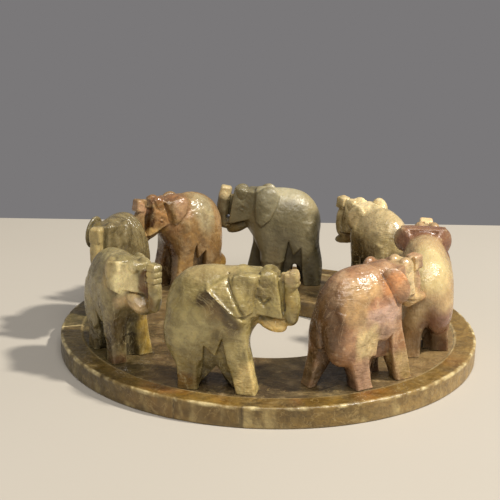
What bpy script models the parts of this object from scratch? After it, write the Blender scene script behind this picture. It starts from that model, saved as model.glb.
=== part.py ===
"""A ring of eight small soapstone elephants, walking nose to tail round a flat ring base.

Metres, +Z up. The origin is the centre of the base's underside.
The base is one turned ring. Each elephant is carved from one stone and is glued on by its feet.
"""

import math
from dataclasses import dataclass

import bmesh
import bpy
from mathutils import Matrix, Vector

# The base ring
BASE_RADIUS = 0.0750
HOLE_RADIUS = 0.0320
BASE_THICKNESS = 0.0071
RIM_WIDTH = 0.0075
RECESS_DEPTH = 0.0005
EDGE_ROUNDING = 0.0006
HOLE_EDGE_ROUNDING = 0.0004
TURNING_STEPS = 64

# How the herd stands on it
GLUE_GAP = 0.0003
RIM_CLEARANCE = 0.0006

# An elephant's foot, in hundredths of its height
FOOT_HALF_LENGTH = 8.5
FOOT_HALF_WIDTH = 7.5

# The cuts up into each flank between the legs, in hundredths of its height
NOTCH_FLOOR = 11.5
NOTCH_REACH = 40
REAR_NOTCH_TOP = 42
BELLY_TOOTH = 33
FRONT_NOTCH_TOP = 49

# How finely an elephant is worked, as shares of its height
CARVING_STEP = 0.018
CARVED_TRIANGLES = 1000
FEWEST_TRIANGLES = 760
SMOOTHING_PASSES = 3
HUNDREDTH = 0.01
MERGE_DISTANCE = 0.00001


@dataclass
class Stone:
    """A colour of soapstone, as it looks when polished."""

    name: str
    colour: tuple
    roughness: float = 0.3


OLIVE = Stone("olive_soapstone", (0.36, 0.31, 0.15))
ROSE = Stone("rose_soapstone", (0.50, 0.30, 0.20))
CREAM = Stone("cream_soapstone", (0.62, 0.52, 0.32))
HONEY = Stone("honey_soapstone", (0.48, 0.40, 0.20))
SLATE = Stone("slate_soapstone", (0.22, 0.21, 0.14))
RUSSET = Stone("russet_soapstone", (0.47, 0.30, 0.18))
MOSS = Stone("moss_soapstone", (0.27, 0.26, 0.15))
FAWN = Stone("fawn_soapstone", (0.45, 0.38, 0.24))
BASE_STONE = Stone("base_soapstone", (0.33, 0.26, 0.12), 0.35)


@dataclass
class Elephant:
    """One elephant, with angles in degrees and lengths in hundredths of its height.

    Each foot is the centre of its sole, as (forward, to the left). The outer side of the ring is on its right.
    """

    name: str
    stone: Stone
    height: float
    place: float
    hind_outer: tuple = (-25, -12.5)
    hind_inner: tuple = (-28, 12.5)
    front_outer: tuple = (23.5, -12.5)
    front_inner: tuple = (15, 12.5)
    turn: float = 0.0
    length: float = 1.0
    rump_drop: float = 0.0
    head_turn: float = 0.0
    head_drop: float = 0.0
    ear_lean: float = 24.0
    ear_flare: float = 16.0
    jaw_reach: float = 14.0


HERD = (
    Elephant("elephant_front_left", OLIVE, 0.0402, 254.5, turn=2, front_inner=(14, 12.5)),
    Elephant("elephant_front_right", ROSE, 0.0394, 301.5, hind_outer=(-14, -15), hind_inner=(-45, 10),
             front_outer=(30, -12.5), jaw_reach=18),
    Elephant("elephant_right", CREAM, 0.0402, 345, turn=8, hind_outer=(-11, -16), hind_inner=(-33, 10),
             rump_drop=9, ear_flare=10),
    Elephant("elephant_back_right", HONEY, 0.0372, 41, turn=-13, head_turn=16, jaw_reach=19),
    Elephant("elephant_back", SLATE, 0.0396, 86.5, hind_outer=(-34, -12.5), hind_inner=(-38, 12.5),
             front_inner=(0, 12.5)),
    Elephant("elephant_back_left", RUSSET, 0.0388, 125, length=0.8),
    Elephant("elephant_left", MOSS, 0.0378, 166, head_turn=-8, ear_flare=22),
    Elephant("elephant_left_front", FAWN, 0.0366, 210, front_inner=(8, 19), head_turn=12),
)


def clear_scene():
    for obj in list(bpy.data.objects):
        bpy.data.objects.remove(obj)


def collection(name):
    made = bpy.data.collections.new(name)
    bpy.context.scene.collection.children.link(made)
    return made


def material_of(stone):
    found = bpy.data.materials.get(stone.name)
    if found:
        return found
    made = bpy.data.materials.new(stone.name)
    made.use_nodes = True
    shader = made.node_tree.nodes["Principled BSDF"]
    shader.inputs["Base Color"].default_value = (*stone.colour, 1.0)
    shader.inputs["Roughness"].default_value = stone.roughness
    shader.inputs["Metallic"].default_value = 0.0
    return made


def object_of(name, mesh, home):
    made = bpy.data.objects.new(name, mesh)
    home.objects.link(made)
    return made


def evaluated_mesh(obj):
    """A new mesh of the object with its modifiers applied."""
    bpy.context.view_layer.update()
    graph = bpy.context.evaluated_depsgraph_get()
    return bpy.data.meshes.new_from_object(obj.evaluated_get(graph))


def arc(centre, radius, start, end, steps=2):
    """Points on an arc in the profile's plane, with both ends."""
    angles = (math.radians(start + (end - start) * i / steps) for i in range(steps + 1))
    return [(centre[0] + radius * math.cos(a), centre[1] + radius * math.sin(a)) for a in angles]


def base_profile():
    """The ring's section, as (radius, height), from the top of its rim down its outer side and round."""
    r, rh = EDGE_ROUNDING, HOLE_EDGE_ROUNDING
    floor = BASE_THICKNESS - RECESS_DEPTH
    recess = BASE_RADIUS - RIM_WIDTH
    points = [(recess, BASE_THICKNESS)]
    points += arc((BASE_RADIUS - r, BASE_THICKNESS - r), r, 90, 0)
    points += arc((BASE_RADIUS - r, r), r, 0, -90)
    points += arc((HOLE_RADIUS + rh, rh), rh, 270, 180, 1)
    points += arc((HOLE_RADIUS + rh, floor - rh), rh, 180, 90, 1)
    points.append((recess, floor))
    return points


def build_base(parts):
    """The ring's section, turned about the vertical axis."""
    bm = bmesh.new()
    verts = [bm.verts.new((r, 0, z)) for r, z in base_profile()]
    for i, vert in enumerate(verts):
        bm.edges.new((vert, verts[(i + 1) % len(verts)]))
    mesh = bpy.data.meshes.new("base_ring")
    bm.to_mesh(mesh)
    bm.free()
    ring = object_of("base_ring", mesh, parts)
    screw = ring.modifiers.new("Turn", "SCREW")
    screw.steps = TURNING_STEPS
    screw.render_steps = TURNING_STEPS
    screw.use_merge_vertices = True
    screw.merge_threshold = MERGE_DISTANCE
    ring.data.materials.append(material_of(BASE_STONE))


class Carving:
    """The overlapping forms of one elephant, in hundredths of its height, gathered in one mesh.

    It faces +X, its left side is +Y, and its soles are at z = 0.
    """

    def __init__(self):
        self.bm = bmesh.new()

    def ellipsoid(self, centre, half, turn=None, segments=20, rings=12):
        matrix = Matrix.Translation(centre) @ (turn or Matrix()) @ Matrix.Diagonal((*half, 1))
        return bmesh.ops.create_uvsphere(
            self.bm, u_segments=segments, v_segments=rings, radius=1, matrix=matrix)["verts"]

    def block(self, low, high):
        """A six-sided block between two rectangles, each (centre, half x, half y) and level, the low one first."""
        made = bmesh.ops.create_cube(self.bm, size=2)["verts"]
        for vert in made:
            centre, half_x, half_y = high if vert.co.z > 0 else low
            vert.co = Vector(centre) + Vector((vert.co.x * half_x, vert.co.y * half_y, 0))
        return made

    def slab(self, rear, front):
        """A six-sided block between two upright rectangles, each (centre, half y, half z), the rear one first."""
        made = bmesh.ops.create_cube(self.bm, size=2)["verts"]
        for vert in made:
            centre, half_y, half_z = front if vert.co.x > 0 else rear
            vert.co = Vector(centre) + Vector((0, vert.co.y * half_y, vert.co.z * half_z))
        return made

    def tube(self, points, radii):
        """A round tube through the points, as a curve with a bevel."""
        curve = bpy.data.curves.new("tube", "CURVE")
        curve.dimensions = "3D"
        curve.bevel_depth = 1
        curve.bevel_resolution = 3
        curve.use_fill_caps = True
        spline = curve.splines.new("POLY")
        spline.points.add(len(points) - 1)
        for place, co, radius in zip(spline.points, points, radii):
            place.co = (*co, 1)
            place.radius = radius
        obj = object_of("tube", curve, bpy.context.scene.collection)
        mesh = evaluated_mesh(obj)
        bpy.data.objects.remove(obj)
        before = set(self.bm.verts)
        self.bm.from_mesh(mesh)
        bpy.data.meshes.remove(mesh)
        made = [vert for vert in self.bm.verts if vert not in before]
        bmesh.ops.remove_doubles(self.bm, verts=made, dist=HUNDREDTH)
        return [vert for vert in self.bm.verts if vert not in before]

    def mesh(self, name):
        mesh = bpy.data.meshes.new(name)
        self.bm.to_mesh(mesh)
        self.bm.free()
        return mesh


def carve_body(carving, e):
    """The rump, barrel and shoulders, and the low core of stone left between the legs."""
    back, drop = e.length, e.rump_drop / 2
    carving.ellipsoid((-17 * back, 0, 60 - drop), (30, 23, 36 - drop))
    carving.ellipsoid((0, 0, 66 - drop), (29, 21.5, 31 - drop))
    carving.ellipsoid((15, 0, 74 - drop), (18, 17, 24))
    carving.block(((-4, 0, 20), 11, 9), ((-4, 0, 50), 18, 13))
    carving.block(((-4, 0, 31), 14, 17), ((-4, 0, 60), 20, 21))
    for side in (-1, 1):
        carving.ellipsoid((-30 * back, side * 10.5, 43), (16, 12, 24))
        carving.ellipsoid((10, side * 11, 59), (12, 10.5, 25))


def carve_legs(carving, e):
    """Square legs, a little tapered, that lean from the hip or the shoulder to the sole."""
    legs = (
        (e.hind_outer, -29 * e.length, 13, 46),
        (e.hind_inner, -29 * e.length, 13, 46),
        (e.front_outer, 1.5 + e.front_outer[0] / 2, 10, 52),
        (e.front_inner, 1.5 + e.front_inner[0] / 2, 10, 52),
    )
    for (x, y), hip, half_top, top in legs:
        sole = ((x, y, -6), FOOT_HALF_LENGTH, FOOT_HALF_WIDTH)
        carving.block(sole, ((hip, math.copysign(12, y), top), half_top, 9))


def carve_head(carving, e):
    """The wedge of the head with its two domes, the lower lip and the raised trunk, turned about the neck."""
    made = carving.slab(((24, 0, 79), 14, 17), ((42, 0, 80), 9, 19))
    for vert in made:
        if vert.co.x > 40:
            vert.co.x += 5 if vert.co.z < 80 else -2
    for side in (-1, 1):
        made += carving.ellipsoid((36, side * 5, 95), (7, 4.5, 5.5), segments=12, rings=8)
    lip = Matrix.Rotation(math.radians(28), 4, "Y")
    made += carving.ellipsoid((37 + (e.jaw_reach - 14) / 2, 0, 54), (e.jaw_reach, 6.5, 6.5), lip, 12, 8)
    points = [(42, 0, 63), (47, 0, 60), (51, 0, 63), (52, 0, 73), (51, 0, 83), (53, 0, 91), (54.5, 0, 96)]
    made += carving.tube(points, [6, 7, 7.4, 7.2, 5.6, 5.2, 4.6])
    made += carving.ellipsoid((53.5, 0, 94.5), (5.5, 7, 4), segments=12, rings=8)
    neck = Vector((22, 0, 76))
    swing = Matrix.Rotation(math.radians(e.head_turn), 4, "Z") @ Matrix.Rotation(math.radians(e.head_drop), 4, "Y")
    bmesh.ops.transform(
        carving.bm, verts=made, matrix=Matrix.Translation(neck) @ swing @ Matrix.Translation(-neck))


def carve_ears(carving, e):
    for side in (-1, 1):
        lean = Matrix.Rotation(math.radians(-e.ear_lean), 4, "Y")
        flare = Matrix.Rotation(math.radians(side * e.ear_flare), 4, "Z")
        carving.ellipsoid((12, side * 19, 81), (11, 5, 18), flare @ lean, segments=14, rings=10)


def carve_tail(carving, e):
    rump = -47 * e.length
    carving.tube([(rump + 7, 0, 82), (rump, 0, 62), (rump - 0.5, 0, 45), (rump, 0, 33)], [2.5, 2.6, 2.4, 3.2])


def flank_notches(e, home):
    """Two prisms that cut up into the flanks between the legs, and leave a tooth of belly between two peaks."""
    bm = bmesh.new()
    for side, hind, front in ((-1, e.hind_outer, e.front_outer), (1, e.hind_inner, e.front_inner)):
        start = hind[0] + FOOT_HALF_LENGTH
        gap = front[0] - FOOT_HALF_LENGTH - start
        outline = (
            (start - 0.03 * gap, -20),
            (start + 0.14 * gap, REAR_NOTCH_TOP),
            (start + 0.43 * gap, BELLY_TOOTH),
            (start + 0.62 * gap, FRONT_NOTCH_TOP),
            (start + 1.03 * gap, -20),
        )
        rim = bm.faces.new([bm.verts.new((x, side * NOTCH_FLOOR, z)) for x, z in outline])
        grown = bmesh.ops.extrude_face_region(bm, geom=[rim])
        moved = [item for item in grown["geom"] if isinstance(item, bmesh.types.BMVert)]
        bmesh.ops.translate(bm, verts=moved, vec=(0, side * (NOTCH_REACH - NOTCH_FLOOR), 0))
    bmesh.ops.recalc_face_normals(bm, faces=bm.faces)
    mesh = bpy.data.meshes.new("flank_notches")
    bm.to_mesh(mesh)
    bm.free()
    mesh.transform(Matrix.Scale(e.height * HUNDREDTH, 4))
    return object_of("flank_notches", mesh, home)


def reach_of(e):
    """How far from the ring's centre the elephant's own centre is, with its outer feet just inside the rim."""
    inside = BASE_RADIUS - RIM_WIDTH - RIM_CLEARANCE
    turn = Matrix.Rotation(math.radians(e.turn), 2)
    reaches = []
    for x, y in (e.hind_outer, e.front_outer):
        for end in (-FOOT_HALF_LENGTH, FOOT_HALF_LENGTH):
            along, across = turn @ Vector((x + end, y - FOOT_HALF_WIDTH)) * e.height * HUNDREDTH
            reaches.append(math.sqrt(inside ** 2 - along ** 2) + across)
    return min(reaches)


def stand(obj, e):
    """Puts the elephant at its place on the ring, facing along it."""
    place, reach = math.radians(e.place), reach_of(e)
    floor = BASE_THICKNESS - RECESS_DEPTH
    obj.location = (reach * math.cos(place), reach * math.sin(place), floor + GLUE_GAP)
    obj.rotation_euler.z = math.radians(e.place + 90 + e.turn)


def ground_block(home):
    """Everything below the soles, for all the elephants in turn."""
    bpy.ops.mesh.primitive_cube_add(size=1)
    ground = bpy.context.object
    for old in ground.users_collection:
        old.objects.unlink(ground)
    home.objects.link(ground)
    ground.name = "ground_block"
    ground.scale = (2 * BASE_RADIUS, 2 * BASE_RADIUS, BASE_THICKNESS)
    ground.location.z = -BASE_THICKNESS / 2
    return ground


def carved_mesh(e, ground, home):
    """Joins the forms into one skin, rounds it, cuts up into the flanks, and cuts the soles flat."""
    carving = Carving()
    for carve in (carve_body, carve_legs, carve_head, carve_ears, carve_tail):
        carve(carving, e)
    mesh = carving.mesh(e.name)
    mesh.transform(Matrix.Scale(e.height * HUNDREDTH, 4))
    rough = object_of("rough", mesh, home)
    skin = rough.modifiers.new("One skin", "REMESH")
    skin.mode = "VOXEL"
    skin.voxel_size = e.height * CARVING_STEP
    rounding = rough.modifiers.new("Rounding", "SMOOTH")
    rounding.iterations = SMOOTHING_PASSES
    notches = flank_notches(e, home)
    for name, cutter in (("Flanks", notches), ("Flat soles", ground)):
        cut = rough.modifiers.new(name, "BOOLEAN")
        cut.operation = "DIFFERENCE"
        cut.object = cutter
    carved = evaluated_mesh(rough)
    for used in (rough, notches):
        bpy.data.objects.remove(used)
    return carved


def closed_after_trimming(mesh):
    """Takes away any loose flap of a face, and says whether the skin is then closed."""
    bm = bmesh.new()
    bm.from_mesh(mesh)
    flaps = {face for edge in bm.edges if edge.is_boundary for face in edge.link_faces}
    bmesh.ops.delete(bm, geom=list(flaps), context="FACES")
    closed = all(edge.is_manifold for edge in bm.edges) and all(vert.is_manifold for vert in bm.verts)
    bm.to_mesh(mesh)
    bm.free()
    return closed


def faceted(carved, home):
    """The carved mesh in about a thousand triangles, or as many fewer as keep it closed."""
    stone = object_of("stone", carved, home)
    facets = stone.modifiers.new("Facets", "DECIMATE")
    triangles = sum(len(polygon.vertices) - 2 for polygon in carved.polygons)
    for target in range(CARVED_TRIANGLES, FEWEST_TRIANGLES, -20):
        facets.ratio = target / triangles
        mesh = evaluated_mesh(stone)
        if closed_after_trimming(mesh):
            break
    bpy.data.objects.remove(stone)
    return mesh


def build_elephant(e, parts, ground, bench):
    mesh = faceted(carved_mesh(e, ground, bench), bench)
    elephant = object_of(e.name, mesh, parts)
    elephant.data.materials.clear()
    elephant.data.materials.append(material_of(e.stone))
    stand(elephant, e)


def main():
    clear_scene()
    parts = collection("soapstone_elephant_ring")
    bench = collection("bench")
    build_base(parts)
    ground = ground_block(bench)
    for e in HERD:
        build_elephant(e, parts, ground, bench)
    bpy.data.objects.remove(ground)


main()
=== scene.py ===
"""Eight carved soapstone elephants walking round a flat stone ring.

Each elephant is modelled as clay is: forms are pressed together and cut in a grid of distances, and
the grid's zero surface becomes the mesh. Lengths there are in hundredths of the elephant's height. It
faces +X, its left side is +Y, and its soles are at z = 0. The outer side of the ring is on its right.
"""

import math
from dataclasses import dataclass
from itertools import product

import bpy
import numpy as np
from mathutils import Matrix, Vector


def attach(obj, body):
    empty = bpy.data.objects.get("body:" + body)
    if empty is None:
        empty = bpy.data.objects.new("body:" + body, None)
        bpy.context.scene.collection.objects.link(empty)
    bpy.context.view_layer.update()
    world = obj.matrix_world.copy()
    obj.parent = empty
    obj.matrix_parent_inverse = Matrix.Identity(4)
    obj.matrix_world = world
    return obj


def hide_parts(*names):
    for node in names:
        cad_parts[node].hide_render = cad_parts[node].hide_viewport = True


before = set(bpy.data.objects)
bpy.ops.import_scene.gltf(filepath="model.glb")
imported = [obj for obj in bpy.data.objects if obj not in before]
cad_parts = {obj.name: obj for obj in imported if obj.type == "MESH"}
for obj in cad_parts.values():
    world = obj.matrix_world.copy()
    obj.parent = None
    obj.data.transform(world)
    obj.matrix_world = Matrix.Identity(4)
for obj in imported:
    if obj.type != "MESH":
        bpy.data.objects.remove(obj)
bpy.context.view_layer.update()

# The base ring and the way the herd stands on it, as in the model
BASE_RADIUS = 0.0750
HOLE_RADIUS = 0.0320
BASE_THICKNESS = 0.0071
RIM_WIDTH = 0.0075
RECESS_DEPTH = 0.0005
RIM_CLEARANCE = 0.0006
FOOT_HALF_LENGTH = 8.5
FOOT_HALF_WIDTH = 7.5
HUNDREDTH = 0.01
MILLIMETRES = 1000

# The soles are cut a little below z = 0, and then the whole elephant is set a little above the recess
SOLE_DEPTH = 0.55
STANDING_LIFT = 0.0003

# Chips along the ring's upper edge, and how far its wall wavers
CHIP_DEPTH = 0.00045
CHIP_REACH = 0.0013
WAVER = 0.00012

# The grid that an elephant is cut in, in hundredths of its height
GRID_STEP = 0.88
GRID_LOW = (-60.0, -36.0, -3.0)
GRID_HIGH = (82.0, 36.0, 106.0)
FAR = 30.0
MARGIN = 8.0


def linear(red, green, blue):
    """A colour given as it looks on a screen, 0 to 255, in the linear values that a shader mixes."""
    shares = (value / 255 for value in (red, green, blue))
    return tuple(c / 12.92 if c < 0.04045 else ((c + 0.055) / 1.055) ** 2.4 for c in shares)


# Forms, as distances


def smooth_min(a, b, blend):
    if blend <= 0:
        return np.minimum(a, b)
    share = np.clip(0.5 + 0.5 * (b - a) / blend, 0, 1)
    return b + (a - b) * share - blend * share * (1 - share)


def smooth_max(a, b, blend):
    return -smooth_min(-a, -b, blend)


def turning(tilt=0.0, pan=0.0):
    """Turns about +Y by tilt, which lowers the front, and then about +Z by pan, in degrees."""
    return np.array(Matrix.Rotation(math.radians(pan), 3, "Z") @ Matrix.Rotation(math.radians(tilt), 3, "Y"))


@dataclass
class Form:
    """A solid: the box that holds it, and the distance from a point to its surface, negative inside."""

    low: tuple
    high: tuple
    distance: object

    def swung(self, turn, pivot):
        """The same form, turned about a pivot."""
        corners = np.array(list(product(*zip(self.low, self.high))))
        moved = (corners - pivot) @ turn.T + pivot

        def distance(x, y, z):
            return self.distance(*unswing(x, y, z, turn, pivot))

        return Form(tuple(moved.min(0)), tuple(moved.max(0)), distance)


def unswing(x, y, z, turn, pivot):
    x, y, z = x - pivot[0], y - pivot[1], z - pivot[2]
    return tuple(turn[0, i] * x + turn[1, i] * y + turn[2, i] * z + pivot[i] for i in range(3))


def egg(centre, half, tilt=0.0, pan=0.0):
    """An ellipsoid."""
    reach = max(half)
    turn = turning(tilt, pan)

    def distance(x, y, z):
        x, y, z = unswing(x, y, z, turn, centre)
        x, y, z = x - centre[0], y - centre[1], z - centre[2]
        first = np.sqrt((x / half[0]) ** 2 + (y / half[1]) ** 2 + (z / half[2]) ** 2)
        second = np.sqrt((x / half[0] ** 2) ** 2 + (y / half[1] ** 2) ** 2 + (z / half[2] ** 2) ** 2)
        return first * (first - 1) / np.maximum(second, 1e-4)

    return Form(tuple(c - reach for c in centre), tuple(c + reach for c in centre), distance)


def post(low, high, rounding=2.0):
    """An upright block between two level rectangles, each (centre, half x, half y), the low one first."""
    (c0, hx0, hy0), (c1, hx1, hy1) = low, high

    def distance(x, y, z):
        share = np.clip((z - c0[2]) / (c1[2] - c0[2]), 0, 1)
        across = np.abs(x - (c0[0] + (c1[0] - c0[0]) * share)) - (hx0 + (hx1 - hx0) * share) + rounding
        aside = np.abs(y - (c0[1] + (c1[1] - c0[1]) * share)) - (hy0 + (hy1 - hy0) * share) + rounding
        outside = np.hypot(np.maximum(across, 0), np.maximum(aside, 0))
        flat = outside + np.minimum(np.maximum(across, aside), 0)
        return np.maximum(flat - rounding, np.maximum(z - c1[2], c0[2] - z)) * 0.95

    xs = (c0[0] - hx0, c0[0] + hx0, c1[0] - hx1, c1[0] + hx1)
    ys = (c0[1] - hy0, c0[1] + hy0, c1[1] - hy1, c1[1] + hy1)
    return Form((min(xs), min(ys), c0[2]), (max(xs), max(ys), c1[2]), distance)


def wedge(low, high, planes, rounding=1.5):
    """What is behind every plane, each (a point on it, its outward normal)."""
    faces = [(point, np.array(normal) / np.linalg.norm(normal)) for point, normal in planes]

    def distance(x, y, z):
        result = None
        for point, n in faces:
            beyond = (x - point[0]) * n[0] + (y - point[1]) * n[1] + (z - point[2]) * n[2]
            result = beyond if result is None else smooth_max(result, beyond, rounding)
        return result

    return Form(low, high, distance)


def outline_distance(x, z, points):
    """The distance to a closed outline in the side view, negative inside."""
    shape = np.broadcast_shapes(x.shape, z.shape)
    nearest = np.full(shape, 1e6, np.float32)
    sign = np.ones(shape, np.float32)
    for i, (ax, az) in enumerate(points):
        bx, bz = points[i - 1]
        ex, ez = bx - ax, bz - az
        wx, wz = x - ax, z - az
        along = np.clip((wx * ex + wz * ez) / max(ex * ex + ez * ez, 1e-9), 0, 1)
        nearest = np.minimum(nearest, (wx - ex * along) ** 2 + (wz - ez * along) ** 2)
        crossed = ((z >= az) & (z < bz) & (ex * wz > ez * wx)) | ((z < az) & (z >= bz) & (ex * wz <= ez * wx))
        sign = np.where(crossed, -sign, sign)
    return sign * np.sqrt(nearest)


def plate(points, low_y, high_y, rounding=0.0):
    """A flat piece cut to an outline in the side view, between two depths."""
    xs, zs = [p[0] for p in points], [p[1] for p in points]

    def distance(x, y, z):
        side = np.maximum(low_y - y, y - high_y)
        return smooth_max(outline_distance(x, z, points), side, rounding)

    return Form((min(xs), low_y, min(zs)), (max(xs), high_y, max(zs)), distance)


def hose(points, radii, widen=1.0):
    """A bent round bar of changing radius, widened sideways."""
    pts = np.array(points, float)
    reach = max(radii) * max(widen, 1)

    def distance(x, y, z):
        result = None
        y = y / widen
        for a, b, ra, rb in zip(pts[:-1], pts[1:], radii[:-1], radii[1:]):
            e = b - a
            along = np.clip(((x - a[0]) * e[0] + (y - a[1]) * e[1] + (z - a[2]) * e[2]) / (e @ e), 0, 1)
            away = np.sqrt((x - a[0] - e[0] * along) ** 2 + (y - a[1] - e[1] * along) ** 2
                           + (z - a[2] - e[2] * along) ** 2) - (ra + (rb - ra) * along)
            result = away if result is None else np.minimum(result, away)
        return result

    return Form(tuple(pts.min(0) - reach), tuple(pts.max(0) + reach), distance)


def block(centre, half, rounding=1.5, tilt=0.0):
    """A box with rounded edges."""
    reach = math.hypot(*half)
    turn = turning(tilt)

    def distance(x, y, z):
        x, y, z = unswing(x, y, z, turn, centre)
        x, y, z = (np.abs(v - c) - h + rounding for v, c, h in zip((x, y, z), centre, half))
        outside = np.sqrt(np.maximum(x, 0) ** 2 + np.maximum(y, 0) ** 2 + np.maximum(z, 0) ** 2)
        return outside + np.minimum(np.maximum(np.maximum(x, y), z), 0) - rounding

    return Form(tuple(c - reach for c in centre), tuple(c + reach for c in centre), distance)


# Marks, which sink or lift the surface on one side: side is 1 for the left, -1 for the right, 0 for both


def one_side(y, side, above=3.0):
    return np.clip(((side * y if side else np.abs(y)) - above) / 1.2, 0, 1)


def mark_box(points, reach):
    xs, zs = [p[0] for p in points], [p[1] for p in points]
    return (min(xs) - reach, -36, min(zs) - reach), (max(xs) + reach, 36, max(zs) + reach)


def groove(points, width, depth, side=0, above=3.0):
    """A V cut along a line in the side view, or a raised bead where depth is negative."""

    def sink(x, y, z):
        away = path_distance(x, z, points) / width
        return np.clip(1 - away, 0, 1) * depth * one_side(y, side, above)

    return Form(*mark_box(points, 0), sink)


def panel(points, height, side=0):
    """A raised flat patch with an outline in the side view."""

    def sink(x, y, z):
        inside = np.clip(0.5 - outline_distance(x, z, points), 0, 1)
        return -height * inside * one_side(y, side)

    return Form(*mark_box(points, 0), sink)


def hollow(start, end, reach, depth, side=0):
    """A slope that sinks, or rises where depth is negative, from a line to its full depth at its left."""
    ex, ez = end[0] - start[0], end[1] - start[1]
    length = math.hypot(ex, ez)

    def sink(x, y, z):
        along = ((x - start[0]) * ex + (z - start[1]) * ez) / length
        aside = ((z - start[1]) * ex - (x - start[0]) * ez) / length * math.copysign(1, reach)
        ends = np.clip(along / 4, 0, 1) * np.clip((length - along) / 4, 0, 1)
        slope = np.clip(aside / abs(reach), 0, 1) * np.clip(abs(reach) + 1 - aside, 0, 1)
        return depth * slope * ends * one_side(y, side)

    return Form(*mark_box((start, end), abs(reach)), sink)


class Clay:
    """The grid of distances that an elephant is pressed together and cut in."""

    def __init__(self):
        self.axes = [np.arange(a, b, GRID_STEP, dtype=np.float32) for a, b in zip(GRID_LOW, GRID_HIGH)]
        self.field = np.full([len(axis) for axis in self.axes], FAR, np.float32)

    def window(self, form):
        cuts = []
        for axis, a, b in zip(self.axes, form.low, form.high):
            cuts.append(slice(*np.searchsorted(axis, (a - MARGIN, b + MARGIN))))
        x, y, z = (axis[cut] for axis, cut in zip(self.axes, cuts))
        return tuple(cuts), (x[:, None, None], y[None, :, None], z[None, None, :])

    def add(self, form, blend=0.0):
        cuts, place = self.window(form)
        self.field[cuts] = smooth_min(self.field[cuts], form.distance(*place), blend)

    def cut(self, form, blend=0.0):
        cuts, place = self.window(form)
        self.field[cuts] = smooth_max(self.field[cuts], -form.distance(*place), blend)

    def press(self, mark):
        """Sinks the surface by what the mark gives at each place."""
        cuts, place = self.window(mark)
        self.field[cuts] += mark.distance(*place)


def skin(clay):
    """The grid's zero surface as (vertices, quads), with one vertex in each cell that it passes through."""
    field = clay.field
    inside = field < 0
    cells = np.array(field.shape) - 1
    total = int(np.prod(cells))
    sums, count = np.zeros((3, total)), np.zeros(total)
    crossings = []
    for axis in range(3):
        here = [slice(None)] * 3
        there = [slice(None)] * 3
        here[axis], there[axis] = slice(0, -1), slice(1, None)
        at = np.argwhere(inside[tuple(here)] != inside[tuple(there)])
        step = np.eye(3, dtype=int)[axis]
        near, far = field[tuple(at.T)], field[tuple((at + step).T)]
        spot = at + (near / (near - far))[:, None] * step
        corners = []
        for back_one, back_two in ((0, 0), (1, 0), (1, 1), (0, 1)):
            cell = at.copy()
            cell[:, (axis + 1) % 3] -= back_one
            cell[:, (axis + 2) % 3] -= back_two
            flat = np.ravel_multi_index(tuple(np.clip(cell, 0, cells - 1).T), tuple(cells))
            count += np.bincount(flat, minlength=total)
            for i in range(3):
                sums[i] += np.bincount(flat, spot[:, i], total)
            corners.append(flat)
        outward = inside[tuple(at.T)]
        crossings.append(np.where(outward[:, None], np.array(corners).T, np.array(corners[::-1]).T))
    used = np.flatnonzero(count)
    numbers = np.full(total, -1)
    numbers[used] = np.arange(len(used))
    vertices = (sums[:, used] / count[used]).T * GRID_STEP + np.array(GRID_LOW)
    return vertices, numbers[np.concatenate(crossings)]


def largest_piece(vertices, quads):
    """Leaves out any crumb that isn't joined to the rest."""
    label = np.arange(len(vertices))
    edges = np.concatenate([quads[:, [i, (i + 1) % 4]] for i in range(4)])
    while True:
        lowest = label.copy()
        np.minimum.at(lowest, edges[:, 0], label[edges[:, 1]])
        np.minimum.at(lowest, edges[:, 1], label[edges[:, 0]])
        lowest = lowest[lowest]
        if (lowest == label).all():
            break
        label = lowest
    keep = label == np.bincount(label).argmax()
    renumber = np.cumsum(keep) - 1
    return vertices[keep], renumber[quads[keep[quads].all(1)]]


def vertex_normals(vertices, quads):
    p = vertices[quads]
    across = np.cross(p[:, 2] - p[:, 0], p[:, 3] - p[:, 1])
    normals = np.zeros_like(vertices)
    for i in range(4):
        for axis in range(3):
            normals[:, axis] += np.bincount(quads[:, i], across[:, axis], len(vertices))
    return normals / np.maximum(np.linalg.norm(normals, axis=1, keepdims=True), 1e-9)


# Large odd numbers that mix a grid corner and a seed into one number
MIXERS = (73856093, 19349663, 83492791, 2654435761, 1274126177)


def noise(points, scale, seed):
    """Smooth noise from -1 to 1, whose lumps are about as large as scale."""
    p = points / scale
    cell = np.floor(p).astype(np.int64)
    part = p - cell
    ease = part * part * (3 - 2 * part)
    value = np.zeros(len(points))
    for corner in np.ndindex(2, 2, 2):
        c = cell + corner
        mixed = (c[:, 0] * MIXERS[0]) ^ (c[:, 1] * MIXERS[1]) ^ (c[:, 2] * MIXERS[2]) ^ (seed * MIXERS[3])
        mixed = (mixed ^ (mixed >> 13)) * MIXERS[4] & 0xFFFFFFFF
        mixed = (mixed ^ (mixed >> 16)) & 0xFFFF
        weight = np.prod(np.where(corner, ease, 1 - ease), axis=1)
        value += weight * (mixed / 32767.5 - 1)
    return value


def clouds(points, scale, seed):
    """Noise with finer noise on it."""
    return noise(points, scale, seed) * 0.6 + noise(points, scale / 2.1, seed + 1) * 0.3 \
        + noise(points, scale / 4.3, seed + 2) * 0.15


def path_distance(x, z, points):
    """The distance in the side view to a line through the points."""
    nearest = np.float32(1e6)
    for (ax, az), (bx, bz) in zip(points[:-1], points[1:]):
        ex, ez = bx - ax, bz - az
        along = np.clip(((x - ax) * ex + (z - az) * ez) / (ex * ex + ez * ez), 0, 1)
        nearest = np.minimum(nearest, np.hypot(x - ax - ex * along, z - az - ez * along))
    return nearest


# The herd


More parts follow.
